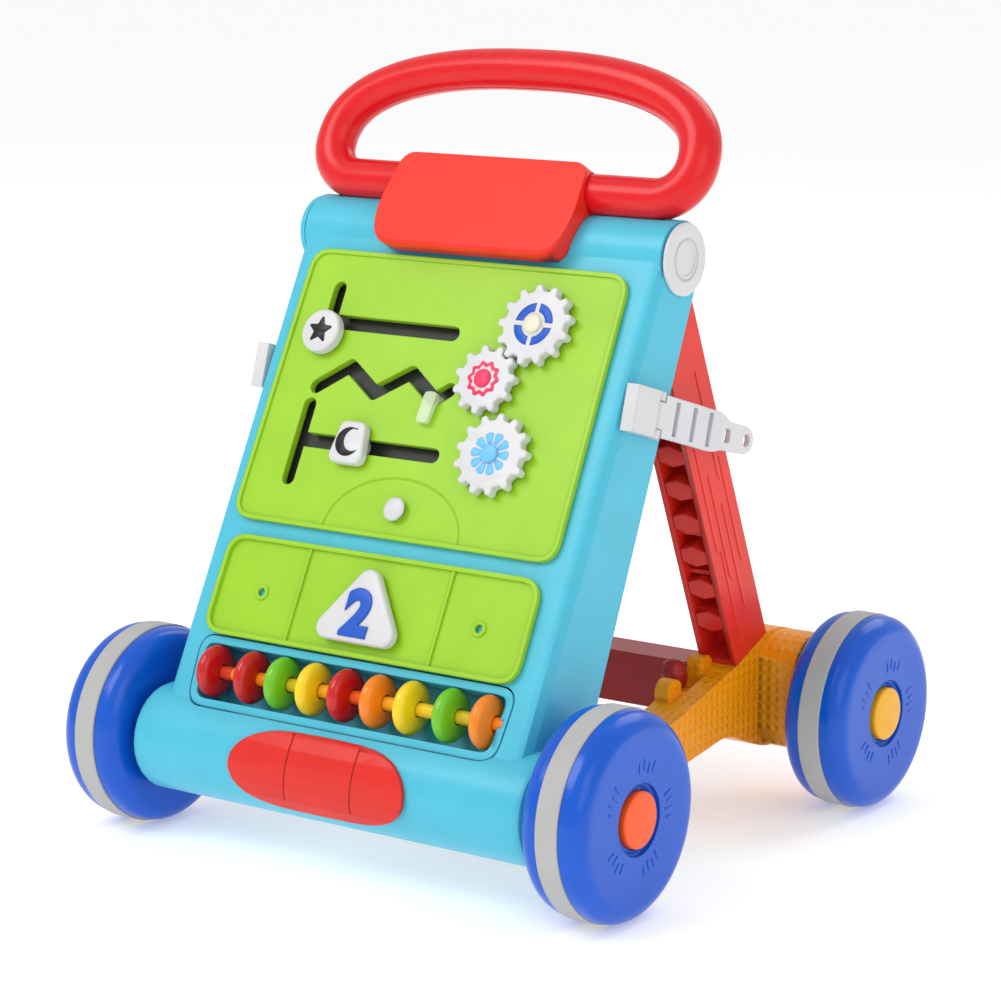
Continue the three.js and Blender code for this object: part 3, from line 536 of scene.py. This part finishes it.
for k in range(4):
    middle = math.pi * (2 * k + 1) / 4
    petal = [(gear_x + r * math.cos(middle + t), gear_z + r * math.sin(middle + t))
             for r, turns in ((12.4, range(-9, 10)), (7.4, range(8, -9, -1)))
             for t in (0.075 * i for i in turns)]
    print_on(f"blue_petal_{k + 1}", petal, PRINT_BLUE, "gear_top", GEAR_FRONT)
print_on("blue_flower_heart", circle(gear_x, gear_z, 6.4), PRINT_CREAM, "gear_top", GEAR_FRONT)
print_on("rose_flower", petals(mid_x, mid_z, 9.8, 0.9, 10), PRINT_ROSE, "gear_middle", GEAR_FRONT)
print_on("rose_flower_ring", petals(mid_x, mid_z, 7.3, 0.7, 10), WHITE, "gear_middle", GEAR_FRONT, 2)
for k in range(10):
    middle = math.pi * k / 5
    side = (math.cos(middle + math.pi / 2), math.sin(middle + math.pi / 2))
    half_petal = ((5.8, 1.3), (10.4, 2.7), (11.8, 2.3))
    petal_line = [(r, -w) for r, w in half_petal] + [(12.6, 0)] + list(reversed(half_petal))
    petal = [(low_x + r * math.cos(middle) + w * side[0], low_z + r * math.sin(middle) + w * side[1])
             for r, w in petal_line]
    print_on(f"sky_petal_{k + 1}", petal, PRINT_SKY, "gear_bottom", GEAR_FRONT)
PIN_FACE = {"gear_top": PRINT_CREAM, "gear_middle": PRINT_ROSE, "gear_bottom": PRINT_SKY}
for name, (x, z, teeth, turn) in GEARS.items():
    node = name.replace("gear", "gear_pin")
    quarter = [math.pi / 8 * i for i in range(5)]
    head = [(0, -9.4)] + [(4.3 + 1.1 * math.sin(t), -8.3 - 1.1 * math.cos(t)) for t in quarter]
    head += [(5.4, -7.75), (2.9, -7.7), (2.9, 1.8), (0, 1.8)]
    add_piece(node + "_head", lathe(head, (x, z), 48, "y"), PIN_FACE[name], "front_frame", [node])


# ---- tokens and button -------------------------------------------------------------------------------
# White moulded tokens with a printed star and moon, each held in its slot by a stem and a clip behind the
# board, a clear lever in the zigzag slot, and a round white button on a spring.
def joined(*parts):
    whole = bmesh.new()
    for part in parts:
        mesh = bpy.data.meshes.new("part")
        part.to_mesh(mesh)
        part.free()
        whole.from_mesh(mesh)
        bpy.data.meshes.remove(mesh)
    return whole


def arc(cx, cy, radius, start, end, steps=8):
    """Points of (x, y) on an arc, angles in degrees."""
    turns = [math.radians(start + (end - start) * i / steps) for i in range(steps + 1)]
    return [(cx + radius * math.cos(t), cy + radius * math.sin(t)) for t in turns]


def rounded(corners, steps=7):
    """An outline whose corners, given as (x, z, radius), are filleted."""
    outline = []
    for i, (x, z, radius) in enumerate(corners):
        here = Vector((x, z))
        back = Vector(corners[i - 1][:2]) - here
        ahead = Vector(corners[(i + 1) % len(corners)][:2]) - here
        half = back.angle(ahead) / 2
        reach = min(radius / math.tan(half), 0.48 * back.length, 0.48 * ahead.length)
        if reach < 0.01:
            outline.append(tuple(here))
            continue
        first, last = here + back.normalized() * reach, here + ahead.normalized() * reach
        centre = here + (back.normalized() + ahead.normalized()).normalized() * (reach / math.cos(half))
        start, end = first - centre, last - centre
        sweep = math.atan2(start.x * end.y - start.y * end.x, start.dot(end))
        for k in range(steps + 1):
            spot = (first - centre).copy()
            spot.rotate(Matrix.Rotation(sweep * k / steps, 2))
            outline.append(tuple(centre + spot))
    return outline


CLEAR = plastic("clear_lever", "clear_plastic", (0.88, 0.94, 0.78), rough=0.14, wear=0.0)
CLEAR.node_tree.nodes["Principled BSDF"].inputs["Alpha"].default_value = 0.55

TOKEN_FRONT = -7.0


def star(x, z, outer, inner):
    count = 5
    turns = [math.pi * i / count + math.pi / 2 for i in range(count * 2)]
    sizes = [outer, inner] * count
    return rounded([(x + r * math.cos(t), z + r * math.sin(t), 0.8) for r, t in zip(sizes, turns)], 4)


def crescent(x, z, radius):
    outside = arc(x, z, radius, 60, 330, 30)
    inside = arc(x + radius * 0.42, z + radius * 0.16, radius * 0.78, 318, 72, 22)
    return outside + inside[1:-1]


round_x = -84.0
round_z = 320.0
head = slab(circle(round_x, round_z, 13, 72), TOKEN_FRONT, GEAR_BACK, ease=1.6)
stem = lathe([(0, -3), (3.7, -3), (3.7, 6.8), (0, 6.8)], (round_x, round_z), 32, "y")
add_piece("round_token_body", joined(head, stem), WHITE, "round_token", ["round_token"])
print_on("token_star", star(round_x, round_z, 9.5, 4.2), PRINT_BLACK, "round_token", TOKEN_FRONT)

square_x = -41.0
square_z = 256.5
corners = [(-12.5, -12.5, 5), (12.5, -12.5, 5), (8.5, 12.5, 5), (-8.5, 12.5, 5)]
head = slab(rounded([(square_x + x, square_z + z, r) for x, z, r in corners]),
            TOKEN_FRONT, GEAR_BACK, ease=1.6)
stem = lathe([(0, -3), (3.7, -3), (3.7, 6.8), (0, 6.8)], (square_x, square_z), 32, "y")
add_piece("square_token_body", joined(head, stem), WHITE, "square_token", ["square_token"])
print_on("token_moon", crescent(square_x, square_z, 8.6), PRINT_BLACK, "square_token", TOKEN_FRONT)

button_x, button_z = 1.0, 222.5
refined("clear_token", CLEAR)
BUTTON_RADIUS = 6.9
quarter = [math.pi / 2 * i / 8 for i in range(1, 9)]
dome = [(0, -5.2)] + [(BUTTON_RADIUS * math.sin(t), -3.4 - 1.8 * math.cos(t)) for t in quarter]
dome += [(6.9, -3.3), (4.5, -3.25), (4.5, 2.6), (0, 2.6)]
add_piece("push_button_cap", lathe(dome, (button_x, button_z), 64, "y"), WHITE, "push_button",
          ["push_button"])

painted("round_token_clip", WHITE)
painted("square_token_clip", WHITE)


# ---- number tile -------------------------------------------------------------------------------------
# A thick white triangle with soft corners that spins on a steel pin between the lower board's ribs.
# A blue numeral stands on its face.
tile_x, tile_z = panel_spot("number_tile_spin")
TILE_FRONT = -7.0
triangle = rounded([(-33, -20.5, 7), (33, -20.5, 7), (0, 27.5, 7.5)], 10)
body = slab([(tile_x + x, tile_z + z) for x, z in triangle], TILE_FRONT, -1.7, ease=2.0, steps=7)
add_piece("number_tile_plate", body, WHITE, "number_tile", ["number_tile"])
numeral = bpy.data.curves.new("numeral", "FONT")
numeral.body = "2"
numeral.size = 35 * MM
numeral.offset = 1.5 * MM
numeral.extrude = 0.5 * MM
numeral.bevel_depth = 0.4 * MM
numeral.bevel_resolution = 3
numeral.align_x = "CENTER"
numeral_object = bpy.data.objects.new("numeral", numeral)
bpy.context.scene.collection.objects.link(numeral_object)
graph = bpy.context.evaluated_depsgraph_get()
numeral_mesh = bpy.data.meshes.new_from_object(numeral_object.evaluated_get(graph))
bpy.data.objects.remove(numeral_object)
bm = bmesh.new()
bm.from_mesh(numeral_mesh)
stand = Matrix.Rotation(math.pi / 2, 4, "X") @ Matrix.Scale(1 / MM, 4)
bm.transform(Matrix.Translation((tile_x, TILE_FRONT - 0.3, tile_z - 16)) @ stand)
add_piece("tile_numeral", bm, PRINT_BLUE, "number_tile")

painted("tile_pin", STEEL)


# ---- beads -------------------------------------------------------------------------------------------
# Nine glossy flat spools slide on one rod across the tray. Between them the rod wears short sleeves in
# bright colours, the beads' own; where two differently coloured beads meet, the mixed tone is painted
# reflected light.
def banded(tree, place, tint):
    """Bands of colour along X: the rod's sleeves in the beads' colours, with mixed tones painted in as
    light reflected from neighbouring beads.
    """
    along = node_of(tree, "ShaderNodeSeparateXYZ", Vector=place).outputs[0]
    spot = node_of(tree, "ShaderNodeMapRange", Value=along)
    spot.inputs[1].default_value = -0.106
    spot.inputs[2].default_value = 0.106
    ramp = node_of(tree, "ShaderNodeValToRGB", Fac=spot.outputs[0])
    ramp.color_ramp.interpolation = "CONSTANT"
    red, orange = (0.80, 0.12, 0.08), (0.98, 0.50, 0.06)
    olive, amber = (0.80, 0.72, 0.10), (0.96, 0.66, 0.08)
    coral, lemon = (0.93, 0.30, 0.08), (0.95, 0.80, 0.10)
    # The tones between differently coloured beads (orange between red and green, olive between green and
    # yellow, and so on) are painted reflected light from those beads.
    sleeve_and_reflected_tones = [(0.0, *red), (0.11, *orange), (0.23, *olive), (0.34, *amber), (0.45, *coral), (0.55, *amber),
               (0.66, *lemon), (0.78, *olive), (0.90, *orange)]
    for k, (start, *colour) in enumerate(sleeve_and_reflected_tones):
        stop = ramp.color_ramp.elements[k] if k < 1 else ramp.color_ramp.elements.new(start)
        stop.position = start
        stop.color = linear(colour)
    return mixed(tree, 0.92, tint, ramp.outputs[0])


# The rod's finish: its sleeve colours, plus painted reflected light from the neighbouring beads.
ROD_SLEEVES_AND_REFLECTIONS = plastic("rod_sleeves_and_painted_reflections", "orange_plastic", (0.95, 0.59, 0.07), rough=0.3, pattern=banded)
painted("bead_rod", ROD_SLEEVES_AND_REFLECTIONS)

BEAD_RED = plastic("bead_red", "red_plastic", (0.78, 0.06, 0.06), rough=0.24, coat=0.4)
BEAD_GREEN = plastic("bead_green", "green_plastic", (0.44, 0.77, 0.10), rough=0.24, coat=0.4)
BEAD_YELLOW = plastic("bead_yellow", "yellow_plastic", (0.98, 0.82, 0.05), rough=0.24, coat=0.4)
BEAD_ORANGE = plastic("bead_orange", "orange_plastic", (0.98, 0.52, 0.05), rough=0.24, coat=0.4)
ROD_Y, ROD_Z = 6.0, 116.5
BEAD_ORDER = [BEAD_RED, BEAD_RED, BEAD_GREEN, BEAD_YELLOW, BEAD_RED, BEAD_ORANGE, BEAD_YELLOW, BEAD_GREEN,
              BEAD_ORANGE]
for number, finish in enumerate(BEAD_ORDER, 1):
    low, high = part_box(f"bead_{number}")
    x = (low.x + high.x) / 2 / MM
    widths = [5.5 * math.sin(math.pi / 2 * k / 12) for k in range(-12, 13)]
    rim = [(max(5.6, 15 * (1 - (abs(w) / 5.5) ** 2.6) ** (1 / 2.6)), x + w) for w in widths]
    spool = lathe([(4.6, x - 5.5)] + rim + [(4.6, x + 5.5)], (ROD_Y, ROD_Z), 72)
    add_piece(f"bead_{number}_spool", spool, finish, f"bead_{number}", [f"bead_{number}"])


# ---- handle ------------------------------------------------------------------------------------------
# An oval loop of thick blow-moulded red tube, flat along its foot, where the handle block grips it.
# A fine mould seam runs round its edge.
RED = plastic("red_gloss", "red_plastic", (0.86, 0.06, 0.09), rough=0.28, coat=0.1)

HANDLE_Y, HANDLE_Z = 10.0, 419.9
HANDLE_TILT = math.radians(-2.2)
HANDLE_HALF = 126.5
LOOP_RISE = 50.5  # from the foot's corners to the top of the loop
FOOT_CORNER = 22
FOOT_HALF = HANDLE_HALF - FOOT_CORNER
TUBE_RADIUS = 11.9
SEAM_RADIUS = 0.32
OVAL = 2 / 2.4  # power of a rounder-shouldered oval


def handle_line(steps=96):
    line = []
    for i in range(steps + 1):
        t = math.pi * i / steps
        c = math.cos(t)
        out = HANDLE_HALF * math.copysign(abs(c) ** OVAL, c)
        line.append((out, FOOT_CORNER + LOOP_RISE * math.sin(t) ** OVAL))
    line += [(x, z) for x, z in arc(-FOOT_HALF, FOOT_CORNER, FOOT_CORNER, 180, 270, 16)[1:]]
    line += [(-FOOT_HALF + 2 * FOOT_HALF * i / 20, 0) for i in range(1, 20)]
    line += [(x, z) for x, z in arc(FOOT_HALF, FOOT_CORNER, FOOT_CORNER, -90, 0, 16)[:-1]]
    return [(x, HANDLE_Y + z * math.sin(HANDLE_TILT), HANDLE_Z + z * math.cos(HANDLE_TILT))
            for x, z in line]


def respaced(points, count):
    """The closed line through points, with count points at equal steps."""
    ends = [Vector(p) for p in points] + [Vector(points[0])]
    reach = [0.0]
    for a, b in zip(ends, ends[1:]):
        reach.append(reach[-1] + (b - a).length)
    spots = []
    k = 0
    for i in range(count):
        goal = reach[-1] * i / count
        while reach[k + 1] < goal:
            k += 1
        spots.append(ends[k].lerp(ends[k + 1], (goal - reach[k]) / max(1e-9, reach[k + 1] - reach[k])))
    return spots


loop_up = (0, math.cos(HANDLE_TILT), math.sin(HANDLE_TILT))
loop_tube = tube(respaced(handle_line(), 240), TUBE_RADIUS, loop_up, 48, True)
add_piece("handle_tube", loop_tube, RED, "front_frame", ["handle_loop"])
loop_line = respaced(handle_line(), 240)
seam = []
for before, here, after in zip(loop_line[-1:] + loop_line[:-1], loop_line, loop_line[1:] + loop_line[:1]):
    seam.append(here + (after - before).normalized().cross(Vector(loop_up)) * (TUBE_RADIUS - 0.05))
add_piece("handle_seam", tube(seam, SEAM_RADIUS, loop_up, 8, True), RED, "front_frame")


# ---- handle block ------------------------------------------------------------------------------------
# A rounded block of coral plastic that clamps the foot of the loop down on the top barrel. It keeps
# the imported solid's shape, with its edges softened.
CORAL = plastic("coral_block", "coral_plastic", (0.95, 0.17, 0.10), rough=0.36)
handle_block = refined("handle_block", CORAL)


# ---- hinge caps and shaft ----------------------------------------------------------------------------
# A steel shaft runs through the top barrel. A white disc with a ring groove closes its right end and a
# plain turquoise plug its left end.
low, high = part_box("hinge_cap_right")
middle = (low + high) / 2 - PANEL_FOOT
TOP_Y, TOP_Z = middle.dot(INTO) / MM, middle.dot(UP_SLOPE) / MM
cap = [(0, 125.4), (20.3, 125.4), (20.3, 126.4)] + [(r, x) for x, r in arc(126.4, 19.1, 1.2, 90, 0, 6)]
cap += [(12.2, 127.6), (11.9, 126.7), (10.9, 126.7), (10.6, 127.6), (9.2, 127.6), (8.9, 126.9), (0, 126.9)]
add_piece("hinge_cap_right_disc", lathe(cap, (TOP_Y, TOP_Z)), WHITE, "front_frame", ["hinge_cap_right"])
blind = [(0, -125.4), (20.3, -125.4)] + [(20.3 * math.cos(t), -127.5 - 6.5 * math.sin(t))
                                         for t in (math.pi / 24 * i for i in range(12))] + [(0, -134)]
add_piece("hinge_cap_left_plug", lathe(blind, (TOP_Y, TOP_Z)), TURQUOISE, "front_frame", ["hinge_cap_left"])

painted("hinge_shaft", STEEL)


# ---- badge -------------------------------------------------------------------------------------------
# A plain lens of coral plastic, clipped on the front of the bottom barrel. Two bowed lines are
# scored into it.
BADGE = plastic("badge_coral", "coral_plastic", (0.86, 0.14, 0.09), rough=0.36)

badge = refined("front_badge", BADGE)
for x in (-22, 24):
    bow = [math.radians(a) for a in range(-50, 51, 4)]
    score = [(x + 2.5 * math.cos(1.8 * a), 26.8 - 33.35 * math.cos(a), 79 + 33.35 * math.sin(a))
             for a in bow]
    carve(badge, tube(score, 0.55, (1, 0, 0), sides=8))


# ---- latches -----------------------------------------------------------------------------------------
# White plastic blocks on the shell's sides. Each holds a slotted strap on a pin, and the strap reaches
# back to a peg on the leg.
for side in ("right", "left"):
    refined(f"latch_block_{side}", WHITE)
    refined(f"latch_strap_{side}", WHITE)


# ---- rear frame --------------------------------------------------------------------------------------
# Two red channel legs with cross ribs and fine streaks on their outer sides, orange feet with a dotted
# grip pattern that take the legs' ends, and a dark red beam plugged between the feet.
LEG_RED = plastic("leg_red", "red_plastic", (0.90, 0.17, 0.11), rough=0.33, edge=0.6)
DARK_RED = plastic("dark_red_beam", "dark_red_plastic", (0.64, 0.10, 0.08), rough=0.36)


def dotted(tree, place):
    """A grip pattern of low round dots in even rows, moulded into a surface."""
    cells = node_of(tree, "ShaderNodeTexVoronoi", Vector=place, Scale=170.0, Randomness=0.0)
    dot = node_of(tree, "ShaderNodeMapRange", Value=cells.outputs["Distance"])
    dot.inputs[1].default_value = 0.45
    dot.inputs[2].default_value = 0.15
    return maths(tree, "MULTIPLY", dot.outputs[0], 3.0)


ORANGE = plastic("orange_foot", "orange_plastic", (0.98, 0.61, 0.0), rough=0.38, relief=dotted)

for side in ("right", "left"):
    refined(f"leg_{side}", LEG_RED)
    refined(f"foot_{side}", ORANGE)
refined("cross_beam", DARK_RED)
LEG_LEAN = math.radians(22.6)
LEG_MIDDLE = 99.5
LEG_OUTER = 112
RIB_STEP = 22.6
TOP_RIB = -52
hinge_place = Vector(JOINT["fold"]["pos_m"])
LEG_AXES = axes_matrix(hinge_place, ACROSS, (0, math.cos(LEG_LEAN), math.sin(LEG_LEAN)),
                       (0, -math.sin(LEG_LEAN), math.cos(LEG_LEAN)))
for side, sign in (("right", 1), ("left", -1)):
    web = [(-8.9, -4.0), (0, -7.0), (8.9, -4.0), (8.9, 4.0), (0, 7.0), (-8.9, 4.0)]
    rib = slab(web, -17.6, -2.2, ease=0.8)
    rib_spots = [((sign * LEG_MIDDLE, 0, TOP_RIB - RIB_STEP * k), (0, 0, 0)) for k in range(9)]
    repeated(f"leg_ribs_{side}", rib, rib_spots, LEG_RED, "rear_frame", LEG_AXES)
    streak = slab([(-1.4, -34), (0, -38), (1.4, -34), (0.5, 34), (-0.5, 34)], -0.45, 0.3, ease=0.25)
    streak_spots = [((sign * LEG_OUTER, y, z), (0, 0, sign * math.pi / 2))
                    for y, z in ((-11, -150), (-4, -172), (3, -196), (10, -168), (-8, -222), (6, -110))]
    repeated(f"leg_streaks_{side}", streak, streak_spots, LEG_RED, "rear_frame", LEG_AXES)


# ---- wheels and axles --------------------------------------------------------------------------------
# Fat glossy blue wheels with a pale band in a groove, a ring of short raised strokes on the face and a
# coloured hub cap in a recess. They turn freely on two steel axles.
BLUE = plastic("blue_wheel", "blue_plastic", (0.0, 0.33, 0.78), rough=0.22, coat=0.12, edge=0.3, wear=0.0)
BAND_GREY = plastic("grey_band", "grey_rubber", (0.70, 0.70, 0.695), rough=0.55, grain=0.2, coat=0.0)
CAP_ORANGE = plastic("orange_cap", "orange_plastic", (0.98, 0.34, 0.0), rough=0.3)
CAP_YELLOW = plastic("yellow_cap", "yellow_plastic", (0.94, 0.68, 0.0), rough=0.3)

painted("front_axle", STEEL)
painted("rear_axle", STEEL)

WHEEL_Z = 58.0
AXLE_PLACE = 132.5  # of each axle before and behind the middle
TICK_CLUSTERS = 5
TICKS_EACH = 4
for end, y, cap_finish in (("front", -AXLE_PLACE, CAP_ORANGE), ("rear", AXLE_PLACE, CAP_YELLOW)):
    for side, sign in (("right", 1), ("left", -1)):
        body = f"{end}_{side}_roller"
        rim = [(4.6, 140.5), (40, 140.5)] + [(r, x) for x, r in arc(151.2, 46.6, 10.3, 178, 92, 12)]
        rim += [(57.0, 153.8), (55.2, 153.8), (55.2, 168.2), (57.3, 168.2)]
        rim += [(r, x) for x, r in arc(170.6, 46.4, 10.8, 86, 6, 12)] + [(43, 181.2), (20.0, 180.8)]
        rim += [(r, x) for x, r in arc(179.3, 18.3, 1.5, 70, 170, 6)]
        rim += [(16.6, 178.6), (16.5, 176.5), (4.6, 176.5)]
        spot = (y, WHEEL_Z)
        add_piece(f"{end}_rim_{side}", lathe([(r, x * sign) for r, x in rim], spot, 128), BLUE, body,
                  [f"{end}_wheel_{side}"], WORLD)
        band = [(55.6, 154.1), (57.6, 154.1), (58.0, 154.7), (58.0, 167.3), (57.6, 167.9), (55.6, 167.9)]
        add_piece(f"{end}_band_{side}", lathe([(r, x * sign) for r, x in band], spot, 128), BAND_GREY, body,
                  [f"{end}_tyre_{side}"], WORLD)
        disc = [(0, 176.9), (15.6, 176.9), (15.6, 180.9)]
        disc += [(r, x) for x, r in arc(180.9, 14.5, 1.1, 90, 0, 6)] + [(0, 182.2)]
        add_piece(f"{end}_cap_{side}", lathe([(r, x * sign) for r, x in disc], spot, 72), cap_finish, body,
                  [f"{end}_hub_cap_{side}"], WORLD)
        tick = slab([(-0.55, -3), (0.55, -3), (0.75, 3), (-0.75, 3)], -0.4, 0.4, ease=0.3)
        tick.transform(Matrix.Rotation(sign * math.pi / 2, 4, "Z"))
        ticks = []
        for cluster in range(TICK_CLUSTERS):
            for k in range(TICKS_EACH):
                t = math.radians(360 / TICK_CLUSTERS * cluster + 9 * k)
                reach = 28 + 1.6 * (k % 2)
                ticks.append(((sign * 181.0, y + reach * math.sin(t), WHEEL_Z + reach * math.cos(t)),
                              (-t, 0, 0)))
        repeated(f"{end}_ticks_{side}", tick, ticks, BLUE, body, WORLD)
